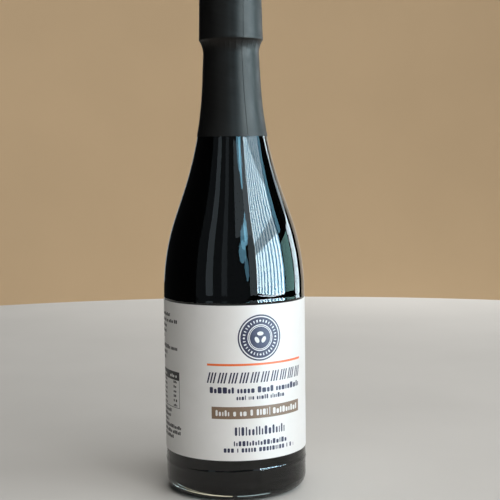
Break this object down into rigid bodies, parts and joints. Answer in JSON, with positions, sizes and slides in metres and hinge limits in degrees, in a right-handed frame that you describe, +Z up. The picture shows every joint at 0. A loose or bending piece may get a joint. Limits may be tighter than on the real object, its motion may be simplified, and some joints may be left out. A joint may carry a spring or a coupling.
{
  "type": "soy sauce bottle",
  "caption": "Tall round glass bottle of dark soy sauce with long sloping shoulders, a screw cap under a shrunk black film sleeve and a white wraparound paper label.",
  "frame": {"origin": "centre of the base, on the plane that the bottle stands on", "axes": "+Z up along the bottle's axis, the middle of the label's main panel faces -Y, +X to the right of it"},
  "size_m": [0.0712, 0.0714, 0.2584],
  "materials": {
    "glass": "clear flint glass with a faint green cast, polished",
    "sauce": "dark brown soy sauce, nearly black in bulk",
    "cap": "black moulded plastic",
    "film": "satin black shrink film",
    "label_paper": "smooth white label paper with a slight sheen"
  },
  "bodies": {
    "root": {"bottle": "glass", "sauce": "sauce", "cap": "cap", "sleeve": "film", "label": "label_paper"}
  },
  "joints": []
}
